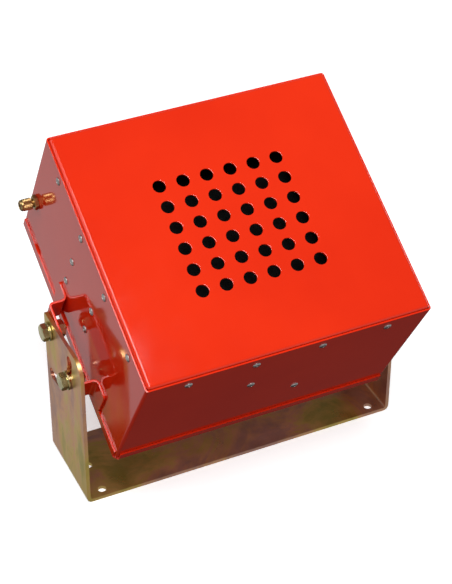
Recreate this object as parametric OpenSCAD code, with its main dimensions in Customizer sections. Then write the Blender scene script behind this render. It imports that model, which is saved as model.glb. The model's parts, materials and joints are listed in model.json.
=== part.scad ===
// Aerosol extinguishing generator: a sheet-steel case on a tilting U bracket.
// Origin: on the bracket's underside, straight under the pivot. +Z up, the case looks to -Y and +Z.

/* [Case] */
// Width of the case
case_w = 240; // [220:1:290]
// Height of the case's face
case_h = 220; // [216:1:225]
// Depth of the case, front face to back face
case_d = 144; // [140:1:200]
// Sheet thickness of the case and its covers
sheet = 1.5; // [1:0.1:2.5]
// Outside bend radius of the case's long corners
corner_r = 2.5; // [2.5:0.5:6]
// Depth of the front cover's flange
front_flange = 22; // [18:1:30]
// Depth of the back cover's flange
back_flange = 11; // [9:1:11]
// Gap between a cover's flange and the case
cover_gap = 0.1; // [0.05:0.05:0.4]

/* [Outlet] */
// Outlet holes along each side of the grid
outlet_n = 6; // [4:1:7]
// Distance between outlet holes across the face
outlet_pitch = 20; // [16:0.5:24]
// Distance between outlet holes up the face
outlet_rise = 18.4; // [16:0.2:22]
// Diameter of an outlet hole
outlet_d = 10.6; // [8:0.1:13]

/* [Tilt] */
// Tilt of the case, 0 looks level and 90 looks up
tilt = 60; // [0:5:90]
// Height of the pivot above the bracket's underside
pivot_h = 130; // [126:1:180]
// Distance from the case's back face to the pivot
pivot_back = 26; // [26:1:36]
// Radius of the lock bolt's arc about the pivot
lock_r = 44; // [38:1:48]
// Angle between two index lobes
lobe_step = 15; // [15:15:45]

/* [Bracket] */
// Sheet thickness of the bracket
bracket_t = 3; // [2:0.5:4]
// Bracket's reach in front of the pivot
bracket_front = 68; // [62:1:80]
// Bracket's reach behind the pivot
bracket_back = 11; // [10:1:25]
// Height of the arms above the pivot
arm_top = 12; // [11:1:20]
// Radius of the arm's front top corner
arm_r = 24; // [6:1:26]
// Diameter of the base's fixing holes
fix_d = 7; // [5.5:0.5:11]
// Distance from a fixing hole to the arm's outer face
fix_side = 16; // [13:1:24]
// Distance from the outer fixing holes to the base's edge
fix_edge = 8; // [7:0.5:12]

/* [Ears] */
// Stand-off of the ear plates from the case
ear_out = 16.5; // [15:0.5:20]
// Sheet thickness of the ears
ear_t = 2; // [1.5:0.5:2.5]
// Width of the ears along the case's depth
ear_w = 28; // [26:1:28]
// Ear's reach above the pivot
ear_up = 18; // [15:1:24]
// Ear's reach past the lock bolt
ear_past = 12; // [12:1:18]
// Length of the ear's tabs on the case
ear_tab = 16; // [10:1:20]

/* [Bolts] */
// Thread diameter of the pivot and lock bolts
bolt_d = 8; // [6:1:10]
// Width across flats of the bolt heads and nuts
bolt_af = 13; // [10:1:17]
// Height of the bolt heads
head_h = 5.3; // [4:0.1:8]
// Height of the nuts
nut_h = 6.5; // [5:0.1:9]
// Outside diameter of the washers
washer_d = 16; // [12:1:22]
// Thickness of the washers
washer_t = 1.6; // [1:0.1:2.5]
// Radial clearance of the pivot bolt in the arm
pivot_fit = 0.05; // [0.02:0.01:0.1]
// Gap between faces that turn past each other
face_gap = 0.4; // [0.3:0.05:1]
// Radial clearance of the lock bolt in its slot
slot_fit = 0.4; // [0.3:0.05:1]

/* [Rivets] */
// Rivets along each side of the front cover
rivet_n = 4; // [2:1:5]
// Distance between the rivets along the top and bottom
rivet_pitch = 56; // [30:1:56]
// Distance between the rivets along the sides
rivet_rise = 51; // [30:1:52]
// Distance from the front face to the rivets
rivet_inset = 12.5; // [10:0.5:14]
// Shank diameter of the rivets
rivet_d = 3.2; // [2.4:0.1:4.8]
// Head diameter of the rivets
rivet_head = 6.4; // [5:0.1:9]

/* [Fitting] */
// Depth of the cable fitting behind the front face
gland_y = 86; // [70:1:100]
// Distance from the cable fitting to the case's top
gland_z = 12; // [11:0.5:15]
// Thread diameter of the cable fitting
gland_d = 8; // [6:0.5:10]
// Diameter of the fitting's barrel
barrel_d = 9.8; // [9:0.1:12]
// Length of the fitting's barrel
barrel_l = 10; // [9:0.5:16]
// Bore of the fitting
gland_bore = 5; // [3:0.1:5.5]

/* [Chamber] */
// Gap between the inner chamber and the case
chamber_gap = 20; // [18:1:24]
// Distance from the front face to the chamber's mouth
chamber_front = 28; // [26:1:36]
// Distance from the chamber's back wall to the case's back
chamber_back = 22; // [20:1:28]
// Sheet thickness of the chamber
chamber_t = 1.2; // [1:0.1:2]
// Thickness of the insulation
insulation_t = 8; // [5:0.5:9]
// Thickness of the coolant bed
coolant_t = 26; // [15:1:30]
// Diameter of a charge block
charge_d = 84; // [60:1:86]
// Length of a charge block
charge_l = 44; // [30:1:46]
// Wires each way in a screen
wire_n = 12; // [6:1:14]
// Thickness of the screen wires
wire_d = 1.6; // [1:0.1:2]

/* [Hidden] */
$fn = 48;
side = case_w / 2;
top = case_h / 2;
front_y = pivot_back - case_d;      // front face, measured from the pivot
shell_y0 = front_y + corner_r;      // the front cover's bend stands clear of the case
shell_y1 = pivot_back - sheet - cover_gap;
rivet_y = front_y + rivet_inset;
ear_face = side + ear_out;
arm_in = ear_face + face_gap;
arm_out = arm_in + bracket_t;
lock_z = -lock_r;
ear_low = lock_z - ear_past;
slot_r = bolt_d / 2 + slot_fit;
lobe_r = slot_r + 0.8;
base_d = bracket_front + bracket_back;
base_mid = (bracket_back - bracket_front) / 2;
fix_x = arm_out - fix_side;
fix_y = base_d / 2 - fix_edge;
rivet_rim = 0.7;
head_x = arm_out + face_gap + washer_t;
bolt_in = ear_face - ear_t - nut_h - 2;
ch_x = side - chamber_gap;
ch_z = top - chamber_gap;
ch_y0 = front_y + chamber_front;
ch_y1 = pivot_back - chamber_back;
ch_wall = chamber_gap + chamber_t;  // from the case's outside to the chamber's inside
seal_t = 0.3;
screen_t = 2 * wire_d;
plate_t = 2;
seal_y = ch_y0 + plate_t;
screen1_y = seal_y + seal_t;
coolant_y = screen1_y + screen_t;
screen2_y = coolant_y + coolant_t;
tray_y = ch_y1 - chamber_t - charge_l - plate_t;
charge_y = tray_y + plate_t;
charge_x = (side - ch_wall) / 2;
charge_z = (top - ch_wall) / 2;
charge_core = 12;
fix_rows = [56, 90];                // depths of the chamber's rivets behind the front
fix_z = [27, -17];                  // heights of the side rivets about the case's middle
fix_diag = [[-22, 56], [25, 90]];   // top and bottom rivets: across, depth
rear_inset = 12;                    // from the chamber's walls to the rear screws
screw_head = 7.4;
screw_rim = 2;
spacer_l = 56;
spacer_w = 14;
spacer_t = 1.5;
gy = front_y + gland_y;
gz = top - gland_z;
gland_af = 11;
hex_t = 3.5;
neck_l = 1.5;
neck_d = gland_d - 1;
gland_nut_t = 3;
gland_wash_d = 15;
gland_wash_t = 0.8;
lead_d = 3;
lead_x = -ch_x - insulation_t - lead_d / 2 - 0.5;
boss_d = 18;
boss_seat = 14;
boss_l = 10;
igniter_d = 8;
igniter_l = 18;                     // its reach into the chamber
igniter_head = 12;
igniter_rim = 2.5;

// The case's own frame has the pivot axis as its origin
module tilted() translate([0, 0, pivot_h]) rotate([-tilt, 0, 0]) children();
// A cylinder along X between two places
module rod_x(x0, x1, d, y = 0, z = 0) {
    translate([min(x0, x1), y, z]) rotate([0, 90, 0]) cylinder(d = d, h = abs(x1 - x0));
}
module hex_x(x0, x1, af, y = 0, z = 0) {
    translate([min(x0, x1), y, z]) rotate([0, 90, 0]) cylinder(d = af / cos(30), h = abs(x1 - x0), $fn = 6);
}
module rod_y(y0, y1, d, x = 0, z = 0) {
    translate([x, max(y0, y1), z]) rotate([90, 0, 0]) cylinder(d = d, h = abs(y1 - y0));
}
// A block as wide and high as the case less an inset, between two depths
module slab(y0, y1, inset) translate([inset - side, y0, inset - top])
    cube([2 * (side - inset), y1 - y0, 2 * (top - inset)]);
// The same with its long corners rounded
module round_block(y0, y1, inset, r) {
    translate([0, y1, 0]) rotate([90, 0, 0]) linear_extrude(y1 - y0)
        offset(r) square([2 * (side - inset - r), 2 * (top - inset - r)], center = true);
}
// The same with its front edges rounded too
module bent_block(y0, y1, inset, r) {
    intersection() {
        round_block(y0, y1, inset, r);
        linear_extrude(2 * top, center = true) bent_outline(y0, y1, side - inset, r);
        rotate([0, 90, 0]) linear_extrude(2 * side, center = true) bent_outline(y0, y1, top - inset, r);
    }
}
module bent_outline(y0, y1, half, r) {
    translate([0, (y0 + y1) / 2 + r]) offset(r, $fn = 24) square([2 * (half - r), y1 - y0], center = true);
}
// Puts its children on the left and right walls, +X outwards, and on the top and bottom walls
module on_sides() for (a = [0, 180]) rotate([0, a, 0]) translate([side, 0, 0]) children();
module on_levels() for (a = [90, 270]) rotate([0, a, 0]) translate([top, 0, 0]) children();
// Puts its children at each of the front cover's rivets
module at_front_rivets() {
    on_sides() for (i = [0:rivet_n - 1]) translate([0, rivet_y, (i - (rivet_n - 1) / 2) * rivet_rise]) children();
    on_levels() for (i = [0:rivet_n - 1]) translate([0, rivet_y, (i - (rivet_n - 1) / 2) * rivet_pitch]) children();
}
// Puts its children at each of the chamber's rivets
module at_chamber_rivets() {
    for (m = [0, 1], y = fix_rows, z = fix_z) mirror([m, 0, 0]) translate([side, front_y + y, z]) children();
    on_levels() for (p = fix_diag) translate([0, front_y + p[1], p[0]]) children();
}

module mounting_bracket() color("#a8906a") difference() {
    union() {
        translate([-arm_out, -bracket_front, 0]) cube([2 * arm_out, base_d, bracket_t]);
        for (s = [-1, 1]) translate([s > 0 ? arm_in : -arm_out, 0, 0])
            rotate([90, 0, 90]) linear_extrude(bracket_t) arm_outline();
    }
    for (x = [-fix_x, fix_x], y = [-fix_y, 0, fix_y])
        translate([x, base_mid + y, -1]) cylinder(d = fix_d, h = bracket_t + 2);
    translate([0, 0, pivot_h]) rod_x(-arm_out - 1, arm_out + 1, bolt_d + 2 * pivot_fit);
    translate([0, 0, pivot_h]) rotate([90, 0, 90])
        translate([0, 0, -arm_out - 1]) linear_extrude(2 * arm_out + 2) index_slot();
}
module arm_outline() {
    end = pivot_h + arm_top;
    difference() {
        translate([-bracket_front, 0]) square([base_d, end]);
        translate([-bracket_front, end - arm_r]) difference() {
            translate([-1, 0]) square([arm_r + 1, arm_r + 1]);
            translate([arm_r, 0]) circle(arm_r);
            translate([arm_r, -1]) square([1, arm_r + 2]);
        }
    }
}
// Arc slot about the pivot, from straight down to straight ahead, with index lobes
module index_slot() {
    difference() {
        circle(lock_r + slot_r);
        circle(lock_r - slot_r);
        translate([0, -80]) square([80, 160]);
        translate([-80, 0]) square([160, 80]);
    }
    for (a = [0:lobe_step:90]) translate([-lock_r * sin(a), -lock_r * cos(a)]) circle(lobe_r);
}

module shell() color("#d8231a") tilted() difference() {
    round_block(shell_y0, shell_y1, 0, corner_r);
    round_block(shell_y0 - 1, shell_y1 + 1, sheet, corner_r - sheet);
    side_holes();
    rod_x(-side - 1, -side + 5, gland_d + 0.4, gy, gz);
}
// Rivet holes through the case's walls
module side_holes() {
    at_front_rivets() rod_x(-5, 1, rivet_d);
    at_chamber_rivets() rod_x(-5, 1, rivet_d);
}

module front_cover() color("#e0261c") tilted() {
    inset = sheet + cover_gap;
    difference() {
        bent_block(front_y, front_y + front_flange, inset, corner_r);
        bent_block(front_y + sheet, front_y + front_flange + 1, inset + sheet, corner_r - sheet);
        outlet_grid() rod_y(front_y - 1, front_y + 5, outlet_d);
        at_front_rivets() rod_x(-8, 1, rivet_d);
    }
}
module outlet_grid() {
    mid = (outlet_n - 1) / 2;
    for (i = [0:outlet_n - 1], j = [0:outlet_n - 1])
        translate([(i - mid) * outlet_pitch, 0, (j - mid) * outlet_rise]) children();
}

module back_cover() color("#b81f18") tilted() {
    lap = cover_gap + sheet;
    y1 = pivot_back;
    notch = corner_r + 3;
    difference() {
        round_block(y1 - back_flange, y1, -lap, corner_r);
        round_block(y1 - back_flange - 1, y1 - sheet, -cover_gap, corner_r - sheet);
        for (x = [-1, 1], z = [-1, 1])
            translate([x * (side + lap), y1 - back_flange / 2 - sheet, z * (top + lap)])
                rotate([0, 45, 0]) cube([notch, back_flange, notch], center = true);
        rear_places() rod_y(y1 - 5, y1 + 1, rivet_d);
    }
}
module rear_places() {
    for (x = [-1, 1], z = [-1, 1])
        translate([x * (ch_x - rear_inset), 0, z * (ch_z - rear_inset)]) children();
}

// Hat-section ear on the case's side; s is -1 for left and 1 for right
module ear(s) color("#c4221a") tilted() difference() {
    x0 = s > 0 ? side : -side - ear_out;
    union() {
        translate([x0, -ear_w / 2, ear_low]) cube([ear_out, ear_w, ear_up - ear_low]);
        translate([s > 0 ? side : -side - ear_t, -ear_w / 2, ear_low - ear_tab])
            cube([ear_t, ear_w, ear_up - ear_low + 2 * ear_tab]);
    }
    translate([s > 0 ? side - 1 : -ear_face + ear_t, -ear_w, ear_low + ear_t])
        cube([ear_out - ear_t + 1, 2 * ear_w, ear_up - ear_low - 2 * ear_t]);
    for (z = [0, lock_z]) rod_x(s * (side + 1), s * (ear_face + 1), bolt_d + 0.02, 0, z);
}
module ear_left() ear(-1);
module ear_right() ear(1);

// A rivet along X with its head's seat at x = 0
module rivet(reach) {
    rod_x(-reach, 0, rivet_d);
    rod_x(0, rivet_rim, rivet_head);
    translate([rivet_rim, 0, 0]) rotate([0, 90, 0])
        cylinder(d1 = rivet_head, d2 = rivet_head * 0.6, h = rivet_rim);
}
module front_rivets() color("silver") tilted() at_front_rivets() rivet(2 * sheet + cover_gap + 1.5);
module chamber_rivets() color("silver") tilted() at_chamber_rivets() rivet(sheet + spacer_t + 1);
module rear_screws() color("silver") tilted() rear_places() {
    rod_y(pivot_back, pivot_back + screw_rim, screw_head);
    rod_y(pivot_back - chamber_back - 2.5, pivot_back, rivet_d);
}

// Inner chamber, open at its front
module chamber() color("#8c8c8c") tilted() difference() {
    slab(ch_y0, ch_y1, chamber_gap);
    slab(ch_y0 - 1, ch_y1 - chamber_t, ch_wall);
    rod_y(ch_y1 - 5, ch_y1 + 1, boss_seat);
    rear_places() rod_y(ch_y1 - 5, ch_y1 + 1, rivet_d);
}
module outlet_plate() color("#7d7d7d") tilted() difference() {
    slab(ch_y0, ch_y0 + plate_t, ch_wall);
    outlet_grid() rod_y(ch_y0 - 1, ch_y0 + 4, outlet_d + 2);
}
module outlet_seal() color("#c8c8c8") tilted() slab(seal_y, seal_y + seal_t, ch_wall);
module screen(y0) {
    x = side - ch_wall;
    z = top - ch_wall;
    for (i = [0:wire_n - 1]) {
        share = i / (wire_n - 1);
        translate([-x + share * (2 * x - wire_d), y0, -z]) cube([wire_d, wire_d, 2 * z]);
        translate([-x, y0 + wire_d * 0.9, -z + share * (2 * z - wire_d)]) cube([2 * x, wire_d * 1.1, wire_d]);
    }
}
module front_screen() color("#909090") tilted() screen(screen1_y);
module rear_screen() color("#909090") tilted() screen(screen2_y);
module coolant_bed() color("#d9d4c7") tilted() slab(coolant_y, screen2_y, ch_wall);
module charge_plate() color("#8a8a8a") tilted() difference() {
    slab(tray_y, charge_y, ch_wall);
    charge_places() rod_y(tray_y - 1, charge_y + 1, charge_d - 12);
}
module charge_places() for (x = [-1, 1], z = [-1, 1]) translate([x * charge_x, 0, z * charge_z]) children();
module charge_blocks() color("#e6dcc0") tilted() charge_places() difference() {
    rod_y(charge_y, ch_y1 - chamber_t, charge_d);
    rod_y(charge_y - 1, ch_y1, charge_core);
}
module insulation_sleeve() color("#eeeae0") tilted() difference() {
    slab(ch_y0, ch_y1, chamber_gap - insulation_t);
    slab(ch_y0 - 1, ch_y1 + 1, chamber_gap);
    for (m = [0, 1]) mirror([m, 0, 0]) translate([side, spacer_mid(), spacer_z()]) spacer_hole();
    on_levels() translate([0, spacer_mid(), 0]) spacer_hole();
}
function spacer_mid() = front_y + (fix_rows[0] + fix_rows[1]) / 2;
function spacer_z() = (fix_z[0] + fix_z[1]) / 2;
function spacer_wide() = fix_z[0] - fix_z[1] + spacer_w;
module spacer_hole() cube([60, spacer_l + 2, spacer_wide() + 2], center = true);
module insulation_board() color("#eeeae0") tilted() difference() {
    slab(ch_y1, ch_y1 + insulation_t, chamber_gap);
    rod_y(ch_y1 - 1, ch_y1 + insulation_t + 1, boss_d + 1);
    rear_places() rod_y(ch_y1 - 1, ch_y1 + insulation_t + 1, rivet_d);
}

// Channel that holds the chamber off the case's wall, its web on the case; +X outwards
module spacer() {
    h = chamber_gap - sheet;
    w = spacer_wide();
    translate([-chamber_gap, -spacer_l / 2, -w / 2]) difference() {
        cube([h, spacer_l, w]);
        translate([-1, -1, spacer_t]) cube([h - spacer_t + 1, spacer_l + 2, w - 2 * spacer_t]);
    }
}
module spacer_side(m) color("#9a9a9a") tilted() difference() {
    mirror([m, 0, 0]) translate([side, spacer_mid(), spacer_z()]) spacer();
    side_holes();
}
module spacer_level(a) color("#9a9a9a") tilted() difference() {
    rotate([0, a, 0]) translate([top, spacer_mid(), 0]) spacer();
    side_holes();
}
module spacer_left() spacer_side(1);
module spacer_right() spacer_side(0);
module spacer_top() spacer_level(-90);
module spacer_bottom() spacer_level(90);

module igniter_boss() color("#777777") tilted() difference() {
    union() {
        rod_y(ch_y1, ch_y1 + boss_l, boss_d);
        rod_y(ch_y1 - chamber_t, ch_y1, boss_seat);
    }
    rod_y(ch_y1 - 5, ch_y1 + boss_l + 1, igniter_d);
}
module igniter() color("#b08d3c") tilted() {
    rod_y(ch_y1 - chamber_t - igniter_l, ch_y1 + boss_l, igniter_d);
    rod_y(ch_y1 + boss_l, ch_y1 + boss_l + igniter_rim, igniter_head);
}
// Two-core lead from the igniter towards the cable fitting, inside the case
module igniter_lead() color("#303030") tilted() {
    y0 = ch_y1 + boss_l + igniter_rim;
    y1 = y0 + lead_d / 2;
    rod_y(y0, y1, lead_d);
    translate([0, y1, 0]) sphere(d = lead_d);
    translate([0, y1, 0]) cylinder(d = lead_d, h = gz);
    translate([0, y1, gz]) sphere(d = lead_d);
    rod_x(lead_x, 0, lead_d, y1, gz);
    translate([lead_x, y1, gz]) sphere(d = lead_d);
    rod_y(gy, y1, lead_d, lead_x, gz);
    translate([lead_x, gy, gz]) sphere(d = lead_d);
}

// Brass cable fitting on the left side
module gland_body() color("#c09a4e") tilted() difference() {
    union() {
        hex_x(-side, -side - hex_t, gland_af, gy, gz);
        rod_x(gland_in(), -side - hex_t - neck_l - 5, neck_d, gy, gz);
    }
    rod_x(-side - 40, -side + 20, gland_bore, gy, gz);
}
// The inner end of the fitting's thread
function gland_in() = -side + sheet + gland_wash_t + gland_nut_t + 0.5;
module gland_washer() color("#b0b0b0") tilted() difference() {
    rod_x(-side + sheet, -side + sheet + gland_wash_t, gland_wash_d, gy, gz);
    rod_x(-side, -side + 10, neck_d, gy, gz);
}
module gland_nut() color("#c09a4e") tilted() difference() {
    hex_x(-side + sheet + gland_wash_t, gland_in() - 0.5, gland_af, gy, gz);
    rod_x(-side, -side + 10, neck_d, gy, gz);
}
module gland_barrel() color("#c8a25a") tilted() {
    x0 = -side - hex_t - neck_l;
    difference() {
        union() {
            rod_x(x0, x0 - barrel_l + 1, barrel_d, gy, gz);
            translate([x0 - barrel_l + 1, gy, gz]) rotate([0, -90, 0])
                cylinder(d1 = barrel_d, d2 = barrel_d - 2, h = 1);
        }
        rod_x(x0 + 1, x0 - 5, neck_d, gy, gz);
        rod_x(x0, x0 - barrel_l - 1, gland_bore, gy, gz);
    }
}

module bolt(s, z) color("#c9b36a") tilted() {
    hex_x(s * head_x, s * (head_x + head_h), bolt_af, 0, z);
    rod_x(s * bolt_in, s * head_x, bolt_d, 0, z);
}
module washer(s, z) color("#cfc48c") tilted() difference() {
    rod_x(s * (arm_out + face_gap), s * head_x, washer_d, 0, z);
    rod_x(s * arm_out, s * (head_x + 1), bolt_d, 0, z);
}
module nut(s, z) color("#cbb873") tilted() difference() {
    hex_x(s * (ear_face - ear_t - nut_h), s * (ear_face - ear_t), bolt_af, 0, z);
    rod_x(s * side, s * ear_face, bolt_d, 0, z);
}
module pivot_bolt_left() bolt(-1, 0);
module pivot_bolt_right() bolt(1, 0);
module pivot_washer_left() washer(-1, 0);
module pivot_washer_right() washer(1, 0);
module pivot_nut_left() nut(-1, 0);
module pivot_nut_right() nut(1, 0);
module lock_bolt_left() bolt(-1, lock_z);
module lock_bolt_right() bolt(1, lock_z);
module lock_washer_left() washer(-1, lock_z);
module lock_washer_right() washer(1, lock_z);
module lock_nut_left() nut(-1, lock_z);
module lock_nut_right() nut(1, lock_z);

mounting_bracket();
shell();
front_cover();
back_cover();
ear_left();
ear_right();
front_rivets();
chamber_rivets();
rear_screws();
chamber();
outlet_plate();
outlet_seal();
front_screen();
rear_screen();
coolant_bed();
charge_plate();
charge_blocks();
insulation_sleeve();
insulation_board();
igniter_boss();
igniter();
igniter_lead();
spacer_left();
spacer_right();
spacer_top();
spacer_bottom();
gland_body();
gland_washer();
gland_nut();
gland_barrel();
pivot_bolt_left();
pivot_bolt_right();
pivot_washer_left();
pivot_washer_right();
pivot_nut_left();
pivot_nut_right();
lock_bolt_left();
lock_bolt_right();
lock_washer_left();
lock_washer_right();
lock_nut_left();
lock_nut_right();
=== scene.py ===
import json
import math
import bmesh
import bpy
from mathutils import Matrix, Vector


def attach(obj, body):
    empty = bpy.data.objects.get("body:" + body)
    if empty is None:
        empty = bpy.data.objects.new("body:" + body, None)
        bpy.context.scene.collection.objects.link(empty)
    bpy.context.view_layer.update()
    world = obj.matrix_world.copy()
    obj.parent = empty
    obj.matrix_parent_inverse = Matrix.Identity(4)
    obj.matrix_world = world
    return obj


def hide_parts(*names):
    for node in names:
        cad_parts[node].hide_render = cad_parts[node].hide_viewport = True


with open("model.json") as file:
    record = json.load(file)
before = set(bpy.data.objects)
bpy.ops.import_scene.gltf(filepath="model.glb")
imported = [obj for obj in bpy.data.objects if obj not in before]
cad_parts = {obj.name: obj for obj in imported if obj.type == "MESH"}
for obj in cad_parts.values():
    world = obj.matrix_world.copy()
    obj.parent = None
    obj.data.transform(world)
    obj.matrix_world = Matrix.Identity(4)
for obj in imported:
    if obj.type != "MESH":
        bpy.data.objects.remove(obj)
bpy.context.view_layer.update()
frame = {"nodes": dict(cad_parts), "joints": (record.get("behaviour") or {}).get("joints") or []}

# ---------------------------------------------------------------- places, in millimetres
MM = 0.001
hinge = frame["joints"][0]
tilt = math.radians(hinge["range_deg"][1])      # the turn from level to rest
pivot = Vector(hinge["pos_m"])
BRACKET = Matrix.Scale(MM, 4)
CASE = Matrix.Translation(pivot) @ Matrix.Rotation(-tilt, 4, "X") @ Matrix.Scale(MM, 4)


def own_box(node, place):
    """Lowest and highest corner of a CAD node in the millimetres of its own part."""
    back = place.inverted()
    points = [back @ v.co for v in frame["nodes"][node].data.vertices]
    low = Vector([min(p[i] for p in points) for i in range(3)])
    high = Vector([max(p[i] for p in points) for i in range(3)])
    return low, high


shell_low, shell_high = own_box("shell", CASE)
front_low, front_high = own_box("front_cover", CASE)
back_low, back_high = own_box("back_cover", CASE)
ear_low, ear_high = own_box("ear_right", CASE)
arm_low, arm_high = own_box("mounting_bracket", BRACKET)
bolt_low, bolt_high = own_box("pivot_bolt_right", CASE)
lock_low, lock_high = own_box("lock_bolt_right", CASE)
nut_low, nut_high = own_box("pivot_nut_right", CASE)
washer_low, washer_high = own_box("pivot_washer_right", CASE)
gland_low, gland_high = own_box("gland_body", CASE)
barrel_low, barrel_high = own_box("gland_barrel", CASE)
screw_high = own_box("rear_screws", CASE)[1]

SIDE = shell_high.x
TOP = shell_high.z
FRONT = front_low.y
REAR = back_high.y
SHEET = 1.5
COVER_BEND = 2.5
BACK_BEND = 2.2
BACK_RELIEF = 4.2       # how far the back cover's corners are cut away
EAR_SHEET = 2
EAR_BEND = 3.5
EAR_TAB = 16
EAR_TIP = 3
PLATE = 3
PLATE_BEND = 5
ARM_FRONT_ROUND = 24
ARM_REAR_ROUND = 3
CORNER_CUT = 0.5858     # share of a square corner's radius that a vertex bevel needs to give that radius
RIM = 0.4
BEND_STEPS = 6
WELD = 0.002
HOLE_N = 6
HOLE_PITCH = 20
HOLE_RISE = 18.4
HOLE_R = 5.3
RIVET_N = 4
RIVET_PITCH = 56
RIVET_RISE = 51
RIVET_IN = 12.5
RIVET_R = 3.2
BOLT_R = 4
PIVOT_FIT = 0.05
ACROSS = nut_high.y - nut_low.y
LOCK_Z = (lock_low.z + lock_high.z) / 2
LOCK_R = -LOCK_Z
SLOT_FIT = 0.4
SLOT_R = BOLT_R + SLOT_FIT
LOBE_SWELL = 0.8
LOBE_R = SLOT_R + LOBE_SWELL
LOBE_STEP = 15
FIX_R = 3.5
FIX_SIDE = 16
FIX_EDGE = 8
SIDE_ROWS = (56, 90)
SIDE_HEIGHTS = (27, -17)
LEVEL_RIVETS = ((-22, 56), (25, 90))
GLAND_Y = (gland_low.y + gland_high.y) / 2
GLAND_Z = (gland_low.z + gland_high.z) / 2
GLAND_HEX = 11
GLAND_HEAD = 3.5
GLAND_NECK = 3.5
GLAND_THREAD = 6.4
GLAND_BORE = 2.5
SCREW_R = 3.7
THREAD = 1.5
FINE_THREAD = 1.0


# ---------------------------------------------------------------- camera, light and floor
def look(obj, at):
    obj.rotation_euler = (Vector(at) - obj.location).to_track_quat("-Z", "Y").to_euler()


def add_camera():
    data = bpy.data.cameras.new("camera")
    data.lens = 112.38
    data.shift_x = -0.0041
    data.shift_y = -0.0127
    cam = bpy.data.objects.new("camera", data)
    bpy.context.scene.collection.objects.link(cam)
    forward = Vector((0.34304, 0.72454, -0.5978))
    right = Vector((0.9052, -0.42495, 0.00439))
    up = right.cross(forward)
    turn = Matrix((right, up, -forward)).transposed().to_4x4()
    cam.matrix_world = Matrix.Translation((-0.5011, -1.0969, 1.0319)) @ turn
    bpy.context.scene.camera = cam


def add_light(name, place, at, size, power):
    data = bpy.data.lights.new(name, "AREA")
    data.shape = "RECTANGLE"
    data.size, data.size_y = size
    data.energy = power
    lamp = bpy.data.objects.new(name, data)
    lamp.location = place
    bpy.context.scene.collection.objects.link(lamp)
    look(lamp, at)


def add_world(levels):
    """A plain grey room whose brightness depends on height only: (height from -1 to 1, brightness)."""
    world = bpy.data.worlds.new("studio")
    world.use_nodes = True
    tree = world.node_tree
    ramp = tree.nodes.new("ShaderNodeValToRGB")
    bar = ramp.color_ramp
    while len(bar.elements) < len(levels):
        bar.elements.new(0.5)
    for knob, (height, bright) in zip(bar.elements, levels):
        knob.position = (height + 1) / 2
        knob.color = (bright, bright, bright, 1)
    split = tree.nodes.new("ShaderNodeSeparateXYZ")
    half = tree.nodes.new("ShaderNodeMath")
    half.operation = "MULTIPLY_ADD"
    half.inputs[1].default_value = 0.5
    half.inputs[2].default_value = 0.5
    place = tree.nodes.new("ShaderNodeTexCoord")
    tree.links.new(place.outputs["Generated"], split.inputs["Vector"])
    tree.links.new(split.outputs["Z"], half.inputs[0])
    tree.links.new(half.outputs["Value"], ramp.inputs["Fac"])
    tree.links.new(ramp.outputs["Color"], tree.nodes["Background"].inputs["Color"])
    bpy.context.scene.world = world


bpy.context.scene.view_settings.view_transform = "Standard"
add_camera()
add_world([(-1, 0.03), (-0.8, 0.06), (-0.62, 0.48), (-0.2, 0.5), (0.1, 0.3), (0.5, 0.1), (0.75, 0.09),
           (1, 0.08)])
middle = (0, -0.05, 0.16)
add_light("key", (-0.35, -1.05, 2.3), middle, (1.5, 1.7), 66)
add_light("side", (-2.4, 0.7, 2.0), middle, (1.2, 1.2), 12)


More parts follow.
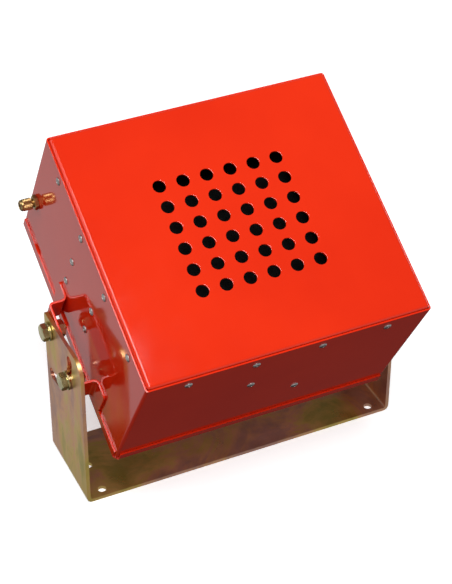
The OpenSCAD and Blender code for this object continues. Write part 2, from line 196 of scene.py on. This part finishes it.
# ---------------------------------------------------------------- materials
class Look:
    """A principled material with helpers for its patterns."""

    def __init__(self, name, **values):
        self.mat = bpy.data.materials.new(name)
        self.mat.use_nodes = True
        self.tree = self.mat.node_tree
        self.shader = self.tree.nodes["Principled BSDF"]
        self.coords = self.tree.nodes.new("ShaderNodeTexCoord")
        self.set(**values)

    def set(self, **values):
        for key, value in values.items():
            name = key.replace("_", " ")
            sock = next(s for s in self.shader.inputs if s.name.lower() == name.lower())
            sock.default_value = (*value, 1) if isinstance(value, tuple) and len(value) == 3 else value

    def node(self, kind, **settings):
        made = self.tree.nodes.new("ShaderNode" + kind)
        for key, value in settings.items():
            setattr(made, key, value)
        return made

    def link(self, a, b):
        self.tree.links.new(a, b)

    def noise(self, scale, detail=3, rough=0.5, stretch=(1, 1, 1), distortion=0.0):
        place = self.node("Mapping")
        place.inputs["Scale"].default_value = stretch
        self.link(self.coords.outputs["Object"], place.inputs["Vector"])
        noise = self.node("TexNoise")
        noise.inputs["Scale"].default_value = scale
        noise.inputs["Detail"].default_value = detail
        noise.inputs["Roughness"].default_value = rough
        noise.inputs["Distortion"].default_value = distortion
        self.link(place.outputs["Vector"], noise.inputs["Vector"])
        return noise.outputs["Fac"]

    def ramp(self, value, stops):
        ramp = self.node("ValToRGB")
        bar = ramp.color_ramp
        while len(bar.elements) < len(stops):
            bar.elements.new(0.5)
        for knob, (at, colour) in zip(bar.elements, stops):
            knob.position = at
            knob.color = (*colour, 1) if isinstance(colour, tuple) else (colour, colour, colour, 1)
        self.link(value, ramp.inputs["Fac"])
        return ramp.outputs["Color"]

    def mix(self, factor, a, b, blend="MIX"):
        mix = self.node("Mix", data_type="RGBA", blend_type=blend)
        for sock, value in ((mix.inputs[0], factor), (mix.inputs[6], a), (mix.inputs[7], b)):
            if isinstance(value, bpy.types.NodeSocket):
                self.link(value, sock)
            else:
                sock.default_value = (*value, 1) if isinstance(value, tuple) else value
        return mix.outputs[2]

    def colour(self, source):
        self.link(source, self.shader.inputs["Base Color"])

    def roughness(self, source):
        self.link(source, self.shader.inputs["Roughness"])

    def bump(self, height, strength, distance=0.0002, after=None):
        bump = self.node("Bump")
        bump.inputs["Strength"].default_value = strength
        bump.inputs["Distance"].default_value = distance
        self.link(height, bump.inputs["Height"])
        if after:
            self.link(after, bump.inputs["Normal"])
        self.link(bump.outputs["Normal"], self.shader.inputs["Normal"])
        return bump.outputs["Normal"]


def red_enamel(name):
    look = Look(name, specular_ior_level=0.5, coat_weight=0.15, coat_roughness=0.04)
    cloud = look.noise(9, 4)
    lit = (0.80, 0.030, 0.005)
    shade = (0.72, 0.023, 0.004)
    look.colour(look.ramp(cloud, [(0.3, shade), (0.7, lit)]))
    look.roughness(look.ramp(look.noise(60, 5), [(0.3, 0.05), (0.7, 0.10)]))
    peel = look.bump(look.noise(420, 2), 0.05, 0.0002)
    look.bump(look.noise(2600, 2), 0.04, 0.0001, peel)
    return look.mat


def yellow_zinc(name):
    """Yellow chromate over zinc: gold, with drifts of green and rose and fine rolling lines."""
    look = Look(name, metallic=0.95)
    drift = look.noise(13, 5, 0.62, (1, 1, 0.5), 1.1)
    film = look.ramp(drift, [
        (0.34, (0.50, 0.44, 0.08)),
        (0.43, (0.86, 0.60, 0.16)),
        (0.51, (0.92, 0.46, 0.28)),
        (0.61, (0.60, 0.28, 0.30)),
    ])
    streaks = look.noise(46, 4, 0.6, (1, 1, 0.1))
    stain = look.ramp(streaks, [(0.35, (0.55, 0.42, 0.10)), (0.65, (0.92, 0.62, 0.28))])
    look.colour(look.mix(0.3, film, stain))
    look.roughness(look.ramp(look.noise(45, 4), [(0.3, 0.26), (0.7, 0.42)]))
    grain = look.bump(look.noise(900, 2, 0.5, (1, 1, 0.08)), 0.12, 0.0001)
    look.bump(look.noise(160, 3), 0.05, 0.0003, grain)
    return look.mat


def plated(name, low, high, rough=(0.22, 0.38), metallic=1.0, shine=0.5):
    look = Look(name, metallic=metallic, specular_ior_level=shine)
    look.colour(look.ramp(look.noise(140, 4), [(0.3, low), (0.7, high)]))
    look.roughness(look.ramp(look.noise(320, 3), [(0.3, rough[0]), (0.7, rough[1])]))
    look.bump(look.noise(1800, 2), 0.08, 0.0001)
    return look.mat


def granular(name, low, high, scale, height=0.4):
    look = Look(name)
    look.colour(look.ramp(look.noise(scale, 4), [(0.3, low), (0.7, high)]))
    look.roughness(look.ramp(look.noise(scale * 2, 3), [(0.3, 0.7), (0.7, 0.9)]))
    look.bump(look.noise(scale * 3, 3), height, 0.0006)
    return look.mat


def pale_floor():
    look = Look("pale_floor", emission_color=(1, 1, 1), emission_strength=0.5)
    look.colour(look.ramp(look.noise(3, 3), [(0.3, (0.90, 0.90, 0.90)), (0.7, (0.93, 0.93, 0.93))]))
    look.roughness(look.ramp(look.noise(20, 3), [(0.3, 0.7), (0.7, 0.8)]))
    return look.mat


RED = red_enamel("red_enamel")
ZINC = yellow_zinc("yellow_zinc")
BOLT_ZINC = plated("bolt_zinc", (0.56, 0.50, 0.24), (0.86, 0.80, 0.48), (0.18, 0.3))
SILVER = plated("rivet_steel", (0.42, 0.40, 0.39), (0.66, 0.64, 0.62), (0.3, 0.45))
STEEL = plated("chamber_steel", (0.24, 0.24, 0.25), (0.38, 0.38, 0.38), (0.4, 0.6))
# Painted shade: a near-black, almost unreflecting finish for the outlet plate and seal, so the outlet holes
# look dark inside
PAINTED_SHADE_BLACK = plated("painted_shade_black", (0.006, 0.006, 0.006), (0.012, 0.012, 0.012), (0.6, 0.8), 0.0, 0.1)
BRASS = plated("brass", (0.42, 0.26, 0.10), (0.62, 0.42, 0.18), (0.26, 0.4))
COOLANT = granular("coolant_pellets", (0.60, 0.56, 0.48), (0.80, 0.77, 0.70), 180)
CHARGE = granular("pressed_charge", (0.66, 0.56, 0.36), (0.80, 0.72, 0.50), 240)
FIBRE = granular("ceramic_fibre", (0.80, 0.78, 0.73), (0.90, 0.89, 0.86), 320)
LEAD = granular("lead_sleeve", (0.015, 0.015, 0.015), (0.03, 0.03, 0.03), 300, 0.1)


def add_floor():
    bm = bmesh.new()
    bmesh.ops.create_grid(bm, x_segments=1, y_segments=1, size=12)
    mesh = bpy.data.meshes.new("floor")
    bm.to_mesh(mesh)
    bm.free()
    mesh.materials.append(pale_floor())
    floor = bpy.data.objects.new("floor", mesh)
    bpy.context.scene.collection.objects.link(floor)
    floor.visible_diffuse = False
    floor.visible_glossy = False


add_floor()


# ---------------------------------------------------------------- making pieces
def add_piece(name, bm, place, body, material, nodes, crease=32):
    """Puts a mesh modelled in millimetres on its body, in place of its CAD nodes."""
    bmesh.ops.remove_doubles(bm, verts=bm.verts, dist=WELD)
    bmesh.ops.recalc_face_normals(bm, faces=bm.faces)
    bm.transform(place)
    mesh = bpy.data.meshes.new(name)
    bm.to_mesh(mesh)
    bm.free()
    mesh.shade_smooth()
    mesh.set_sharp_from_angle(angle=math.radians(crease))
    mesh.materials.append(material)
    piece = bpy.data.objects.new(name, mesh)
    bpy.context.scene.collection.objects.link(piece)
    even = piece.modifiers.new("even_normals", "WEIGHTED_NORMAL")
    even.keep_sharp = True
    even.weight = 80
    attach(piece, body)
    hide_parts(*nodes)
    return piece


def outline(bm, points):
    """A closed loop of edges through the points."""
    verts = [bm.verts.new(p) for p in points]
    return [bm.edges.new((a, b)) for a, b in zip(verts, verts[1:] + verts[:1])]


def ring(bm, radius, place, steps=32):
    verts = bmesh.ops.create_circle(bm, segments=steps, radius=radius, matrix=place)["verts"]
    return list(dict.fromkeys(e for v in verts for e in v.link_edges))


def cut_openings(bm, face, loops):
    """Replaces a flat face with one that has the loops as openings."""
    edges = list(face.edges)
    normal = face.normal.copy()
    bmesh.ops.delete(bm, geom=[face], context="FACES_ONLY")
    made = bmesh.ops.triangle_fill(bm, use_beauty=True, use_dissolve=False, normal=normal,
                                   edges=edges + [e for loop in loops for e in loop])
    return [g for g in made["geom"] if isinstance(g, bmesh.types.BMFace)]


def facing(bm, direction):
    """The largest face that looks along a direction."""
    bm.normal_update()
    turned = [f for f in bm.faces if f.normal.dot(Vector(direction)) > 0.99]
    return max(turned, key=lambda f: f.calc_area())


def round_edges(bm, edges, radius, steps=2):
    bmesh.ops.bevel(bm, geom=edges, offset=radius, offset_type="OFFSET", segments=steps, profile=0.5,
                    affect="EDGES", clamp_overlap=True, material=-1)


def thicken(bm, thickness, outward, rim=RIM):
    """Gives an open skin its sheet thickness, away from the side that looks outward."""
    bmesh.ops.recalc_face_normals(bm, faces=bm.faces)
    bm.normal_update()
    point, direction = outward
    near = min(bm.faces, key=lambda f: (f.calc_center_median() - Vector(point)).length)
    if near.normal.dot(Vector(direction)) < 0:
        bmesh.ops.reverse_faces(bm, faces=bm.faces)
    bmesh.ops.solidify(bm, geom=bm.faces[:], thickness=thickness)
    bm.normal_update()
    sharp = [e for e in bm.edges if len(e.link_faces) == 2 and e.calc_face_angle() > math.radians(60)]
    round_edges(bm, sharp, rim)


def lathe(profile, steps=48):
    """Turns a profile of (radius, height) points about Z."""
    bm = bmesh.new()
    verts = [bm.verts.new((r, 0, z)) for r, z in profile]
    edges = [bm.edges.new(pair) for pair in zip(verts, verts[1:])]
    bmesh.ops.spin(bm, geom=verts + edges, cent=(0, 0, 0), axis=(0, 0, 1), dvec=(0, 0, 0),
                   angle=math.tau, steps=steps, use_merge=True, use_duplicate=False)
    bmesh.ops.remove_doubles(bm, verts=bm.verts, dist=WELD)
    bmesh.ops.recalc_face_normals(bm, faces=bm.faces)
    return bm


def cut_hexagon(bm, across):
    for i in range(6):
        out = Vector((math.cos(i * math.pi / 3), math.sin(i * math.pi / 3), 0))
        cut = bmesh.ops.bisect_plane(bm, geom=bm.verts[:] + bm.edges[:] + bm.faces[:], dist=0.0001,
                                     plane_co=out * across / 2, plane_no=out, clear_outer=True)
        edges = [g for g in cut["geom_cut"] if isinstance(g, bmesh.types.BMEdge)]
        bmesh.ops.edgeloop_fill(bm, edges=edges)
    return bm


def stamped(make, places):
    """One mesh with a copy of the shape at each place."""
    source = make()
    part = bpy.data.meshes.new("part")
    source.to_mesh(part)
    source.free()
    bm = bmesh.new()
    for place in places:
        copy = part.copy()
        copy.transform(place)
        bm.from_mesh(copy)
        bpy.data.meshes.remove(copy)
    bpy.data.meshes.remove(part)
    return bm


def along_x(sign, x, y=0, z=0):
    """Stands a shape made along +Z on a side, pointing away from the case."""
    return Matrix.Translation((sign * x, y, z)) @ Matrix.Rotation(sign * math.pi / 2, 4, "Y")


# ---------------------------------------------------------------- the case
def sharp_box(low, high):
    """A box with square edges between two corners."""
    bm = bmesh.new()
    size = high - low
    place = Matrix.Translation((low + high) / 2) @ Matrix.Diagonal((*size, 1))
    bmesh.ops.create_cube(bm, size=1, matrix=place)
    return bm


def make_front_cover():
    bm = sharp_box(front_low, front_high)
    bmesh.ops.delete(bm, geom=[facing(bm, (0, 1, 0))], context="FACES_ONLY")
    bends = [e for e in bm.edges if len(e.link_faces) == 2]
    round_edges(bm, bends, COVER_BEND, BEND_STEPS)
    mid = (HOLE_N - 1) / 2
    flat = Matrix.Rotation(math.pi / 2, 4, "X")
    holes = []
    for i in range(HOLE_N):
        for j in range(HOLE_N):
            at = ((i - mid) * HOLE_PITCH, FRONT, (j - mid) * HOLE_RISE)
            holes.append(ring(bm, HOLE_R, Matrix.Translation(at) @ flat))
    cut_openings(bm, facing(bm, (0, -1, 0)), holes)
    thicken(bm, SHEET, ((0, FRONT, 0), (0, -1, 0)))
    add_piece("front_cover", bm, CASE, "case", RED, ["front_cover"])


def make_shell():
    bm = bmesh.new()
    outline(bm, [(x, shell_low.y, z) for x, z in ((-SIDE, -TOP), (SIDE, -TOP), (SIDE, TOP), (-SIDE, TOP))])
    walls = bmesh.ops.extrude_edge_only(bm, edges=bm.edges[:])
    moved = [g for g in walls["geom"] if isinstance(g, bmesh.types.BMVert)]
    bmesh.ops.translate(bm, verts=moved, vec=(0, shell_high.y - shell_low.y, 0))
    round_edges(bm, [e for e in bm.edges if len(e.link_faces) == 2], COVER_BEND, BEND_STEPS)
    thicken(bm, SHEET, ((SIDE, 0, 0), (1, 0, 0)))
    add_piece("shell", bm, CASE, "case", RED, ["shell"])


def make_back_cover():
    bm = sharp_box(back_low, back_high)
    bmesh.ops.delete(bm, geom=[facing(bm, (0, -1, 0))], context="FACES_ONLY")
    corners = [e for e in bm.edges if len(e.link_faces) == 2 and abs(e.verts[0].co.y - e.verts[1].co.y) > 1]
    round_edges(bm, corners, BACK_RELIEF, 1)
    bm.normal_update()
    notches = [f for f in bm.faces if abs(abs(f.normal.x) - abs(f.normal.z)) < 0.1 and abs(f.normal.y) < 0.1]
    bmesh.ops.delete(bm, geom=notches, context="FACES")
    bends = [e for e in bm.edges if len(e.link_faces) == 2]
    round_edges(bm, bends, BACK_BEND, 5)
    thicken(bm, SHEET, ((0, REAR, 0), (0, 1, 0)))
    add_piece("back_cover", bm, CASE, "case", RED, ["back_cover"])


def make_ear(sign, name):
    bm = bmesh.new()
    skin = SIDE + EAR_SHEET
    low, high = ear_low.z + EAR_TAB, ear_high.z - EAR_TAB
    path = [(skin, ear_low.z), (skin, low), (ear_high.x, low), (ear_high.x, high), (skin, high),
            (skin, ear_high.z)]
    verts = [bm.verts.new((sign * x, ear_low.y, z)) for x, z in path]
    edges = [bm.edges.new(pair) for pair in zip(verts, verts[1:])]
    walls = bmesh.ops.extrude_edge_only(bm, edges=edges)
    moved = [g for g in walls["geom"] if isinstance(g, bmesh.types.BMVert)]
    bmesh.ops.translate(bm, verts=moved, vec=(0, ear_high.y - ear_low.y, 0))
    round_edges(bm, [e for e in bm.edges if len(e.link_faces) == 2], EAR_BEND, BEND_STEPS)
    tips = [v for v in bm.verts if abs(v.co.z - ear_low.z) < 0.01 or abs(v.co.z - ear_high.z) < 0.01]
    bmesh.ops.bevel(bm, geom=tips, offset=EAR_TIP, offset_type="OFFSET", segments=5, profile=0.5,
                    affect="VERTICES", material=-1)
    thicken(bm, EAR_SHEET, ((sign * ear_high.x, 0, (low + high) / 2), (sign, 0, 0)))
    add_piece(name, bm, CASE, "case", RED, [name])


# ---------------------------------------------------------------- the bracket
def slot_outline():
    """The lock bolt's arc slot about the pivot, with a lobe at each index: (forward, down) points."""
    lobes = [math.radians(a) for a in range(0, 91, LOBE_STEP)]
    end = math.asin(LOBE_R / LOCK_R)
    steps = 96
    outer, inner = [], []
    for i in range(steps + 1):
        a = -end + (math.pi / 2 + 2 * end) * (0.5 - 0.5 * math.cos(math.pi * i / steps))
        reach = []
        if 0 <= a <= math.pi / 2:
            reach += [LOCK_R - SLOT_R, LOCK_R + SLOT_R]
        for lobe in lobes:
            across = LOCK_R * math.sin(a - lobe)
            if abs(across) <= LOBE_R + 0.01:
                along = LOCK_R * math.cos(a - lobe)
                half = math.sqrt(max(LOBE_R ** 2 - across ** 2, 0))
                reach += [along - half, along + half]
        outer.append((a, max(reach)))
        inner.append((a, min(reach)))
    turn = outer + inner[-2:0:-1]
    return [(r * math.sin(a), r * math.cos(a)) for a, r in turn]


def make_bracket():
    bm = bmesh.new()
    w, top, front, rear = arm_high.x, arm_high.z, arm_low.y, arm_high.y
    path = [(-w, top), (-w, 0), (w, 0), (w, top)]
    verts = [bm.verts.new((x, front, z)) for x, z in path]
    edges = [bm.edges.new(pair) for pair in zip(verts, verts[1:])]
    walls = bmesh.ops.extrude_edge_only(bm, edges=edges)
    moved = [g for g in walls["geom"] if isinstance(g, bmesh.types.BMVert)]
    bmesh.ops.translate(bm, verts=moved, vec=(0, rear - front, 0))
    round_edges(bm, [e for e in bm.edges if len(e.link_faces) == 2], PLATE_BEND, 8)
    for at, radius in ((front, ARM_FRONT_ROUND), (rear, ARM_REAR_ROUND)):
        tips = [v for v in bm.verts if abs(v.co.z - top) < 0.01 and abs(v.co.y - at) < 0.01]
        bmesh.ops.bevel(bm, geom=tips, offset=radius * CORNER_CUT, offset_type="OFFSET", segments=14,
                        profile=0.5, affect="VERTICES", material=-1)
    bm.normal_update()
    pivot_z = pivot.z / MM
    for sign in (-1, 1):
        arm = max([f for f in bm.faces if abs(f.normal.x) > 0.99 and f.calc_center_median().x * sign > 0],
                  key=lambda f: f.calc_area())
        slot = outline(bm, [(sign * w, -ahead, pivot_z - down) for ahead, down in slot_outline()])
        hole = ring(bm, BOLT_R + PIVOT_FIT, along_x(sign, w, 0, pivot_z))
        cut_openings(bm, arm, [slot, hole])
    bm.normal_update()
    base = max([f for f in bm.faces if abs(f.normal.z) > 0.99], key=lambda f: f.calc_area())
    mid = (front + rear) / 2
    reach = (rear - front) / 2 - FIX_EDGE
    places = [(x, mid + y, 0) for x in (FIX_SIDE - w, w - FIX_SIDE) for y in (-reach, 0, reach)]
    cut_openings(bm, base, [ring(bm, FIX_R, Matrix.Translation(p)) for p in places])
    thicken(bm, PLATE, ((0, mid, 0), (0, 0, -1)))
    add_piece("mounting_bracket", bm, BRACKET, "bracket", ZINC, ["mounting_bracket"])


# ---------------------------------------------------------------- fasteners
def blind_rivet():
    """Dome head with the broken mandrel in its middle; seat at z = 0."""
    r = RIVET_R
    return lathe([(0, 0.55), (0.75, 0.55), (0.85, 0.7), (0.95, 1.3), (1.3, 1.36), (r * 0.62, 1.22),
                  (r * 0.85, 0.9), (r * 0.97, 0.5), (r, 0.15), (r * 0.97, 0), (0, 0)], 24)


def walls_at(half, quarter_turns, places):
    """Stands shapes on two opposite walls, at (along, depth) places on each."""
    return [Matrix.Rotation(k * math.pi / 2, 4, "Y") @ along_x(1, half, FRONT + depth, along)
            for k in quarter_turns for along, depth in places]


def make_rivets():
    steps = [i - (RIVET_N - 1) / 2 for i in range(RIVET_N)]
    front = walls_at(SIDE, (0, 2), [(i * RIVET_RISE, RIVET_IN) for i in steps])
    front += walls_at(TOP, (1, 3), [(i * RIVET_PITCH, RIVET_IN) for i in steps])
    add_piece("front_rivets", stamped(blind_rivet, front), CASE, "case", SILVER, ["front_rivets"])
    sides = [along_x(s, SIDE, FRONT + y, z) for s in (-1, 1) for y in SIDE_ROWS for z in SIDE_HEIGHTS]
    level = walls_at(TOP, (1, 3), LEVEL_RIVETS)
    add_piece("chamber_rivets", stamped(blind_rivet, sides + level), CASE, "case", SILVER,
              ["chamber_rivets"])


def thread(radius, low, high, pitch):
    """Profile points of a thread's crests and roots, from low to high."""
    count = max(int((high - low) / pitch), 1)
    step = (high - low) / count
    points = []
    for i in range(count):
        z = low + i * step
        root = (radius - 0.55 * pitch, z + 0.75 * step)
        points += [(radius, z + 0.1 * step), (radius, z + 0.3 * step), root]
    return points + [(radius, high)]


def hex_bolt(length, head):
    r, corner = BOLT_R, ACROSS / math.sqrt(3)
    flat = ACROSS / 2 * 0.95
    bm = lathe([(0, -length), (r - 1.2, -length), *thread(r, -length + 1.2, -7, THREAD), (r, 0), (flat, 0),
                (flat, 0.4), (corner + 0.1, 0.4), (corner + 0.1, head - 1.1), (flat, head - 0.05),
                (flat - 0.3, head), (0, head)], 72)
    return cut_hexagon(bm, ACROSS)


def hex_nut(height):
    corner, flat = ACROSS / math.sqrt(3) + 0.1, ACROSS / 2 * 0.95
    profile = [(BOLT_R + 0.02, 0.4), (BOLT_R + 0.6, 0), (flat, 0), (corner, 1.1), (corner, height - 1.1),
               (flat, height), (BOLT_R + 0.6, height), (BOLT_R + 0.02, height - 0.4), (BOLT_R + 0.02, 0.4)]
    return cut_hexagon(lathe(profile, 72), ACROSS)


def washer():
    r, t = (washer_high.z - washer_low.z) / 2, washer_high.x - washer_low.x
    b = 0.25
    return lathe([(BOLT_R, b), (BOLT_R + b, 0), (r - b, 0), (r, b), (r, t - b), (r - b, t), (BOLT_R + b, t),
                  (BOLT_R, t - b), (BOLT_R, b)], 64)


def make_bolts():
    seat = washer_high.x
    head = bolt_high.x - seat
    for z, kind in ((0, "pivot"), (LOCK_Z, "lock")):
        for sign, side in ((-1, "left"), (1, "right")):
            for part, make, x in (("bolt", lambda: hex_bolt(seat - bolt_low.x, head), seat),
                                  ("washer", washer, washer_low.x),
                                  ("nut", lambda: hex_nut(nut_high.x - nut_low.x), nut_low.x)):
                name = "%s_%s_%s" % (kind, part, side)
                add_piece(name, stamped(make, [along_x(sign, x, 0, z)]), CASE, "case",
                          BOLT_ZINC, [name])


def make_rear_screws():
    head = screw_high.y - REAR
    r = SCREW_R
    across, up = screw_high.x - r, screw_high.z - r

    def dome():
        return lathe([(0, head * 0.45), (1.4, head * 0.45), (1.7, head * 0.98), (r * 0.7, head * 0.9),
                      (r * 0.93, head * 0.55), (r, head * 0.2), (r, 0), (0, 0)], 32)

    turn = Matrix.Rotation(-math.pi / 2, 4, "X")
    places = [Matrix.Translation((x * across, REAR, z * up)) @ turn for x in (-1, 1) for z in (-1, 1)]
    add_piece("rear_screws", stamped(dome, places), CASE, "case", SILVER, ["rear_screws"])


# ---------------------------------------------------------------- the cable fitting
def gland_hex():
    corner, flat = GLAND_HEX / math.sqrt(3) + 0.1, GLAND_HEX / 2 * 0.96
    h, end, neck, bore = GLAND_HEAD, GLAND_HEAD + GLAND_THREAD, GLAND_NECK, GLAND_BORE
    profile = [(bore, -4), (neck, -4), (neck, 0), (flat, 0), (corner, 0.5), (corner, h - 0.8), (flat, h),
               (neck + 0.3, h), *thread(neck, h, end, FINE_THREAD), (bore, end), (bore, -4)]
    return cut_hexagon(lathe(profile, 60), GLAND_HEX)


def gland_barrel():
    """Knurled cap with a chamfered mouth; its seat is at z = 0."""
    r = (barrel_high.z - barrel_low.z) / 2
    long = barrel_high.x - barrel_low.x
    bore = GLAND_BORE
    steps = 60
    bm = lathe([(bore, 0), (r - 0.6, 0), (r, 0.6), (r, long - 2.6), (r - 0.25, long - 2.4),
                (r - 0.25, long - 1.2), (r - 1.2, long), (bore + 0.4, long), (bore, long - 0.5), (bore, 0)],
               steps)
    for v in bm.verts:
        radius = math.hypot(v.co.x, v.co.y)
        turn = round(math.atan2(v.co.y, v.co.x) / math.tau * steps)
        if radius > r - 0.05 and turn % 2:
            v.co.x *= (r - 0.28) / radius
            v.co.y *= (r - 0.28) / radius
    return bm


def make_gland():
    at = along_x(-1, SIDE, GLAND_Y, GLAND_Z)
    add_piece("gland_body", stamped(gland_hex, [at]), CASE, "case", BRASS, ["gland_body"])
    cap = along_x(-1, -barrel_high.x, GLAND_Y, GLAND_Z)
    add_piece("gland_barrel", stamped(gland_barrel, [cap]), CASE, "case", BRASS, ["gland_barrel"],
              crease=24)


make_front_cover()
make_shell()
make_back_cover()
make_ear(-1, "ear_left")
make_ear(1, "ear_right")
make_bracket()
make_rivets()
make_bolts()
make_rear_screws()
make_gland()


# ---------------------------------------------------------------- the hidden inside keeps its CAD shapes
INSIDE = {
    # the outlet plate and seal get the near-black painted-shade finish that darkens the outlet holes
    "chamber": STEEL, "outlet_plate": PAINTED_SHADE_BLACK, "outlet_seal": PAINTED_SHADE_BLACK, "front_screen": STEEL,
    "rear_screen": STEEL, "coolant_bed": COOLANT, "charge_plate": STEEL, "charge_blocks": CHARGE,
    "insulation_sleeve": FIBRE, "insulation_board": FIBRE, "igniter_boss": STEEL, "igniter": BRASS,
    "igniter_lead": LEAD, "spacer_left": STEEL, "spacer_right": STEEL, "spacer_top": STEEL,
    "spacer_bottom": STEEL, "gland_washer": SILVER, "gland_nut": BRASS,
}
for node, material in INSIDE.items():
    for slot in frame["nodes"][node].material_slots:
        slot.material = material
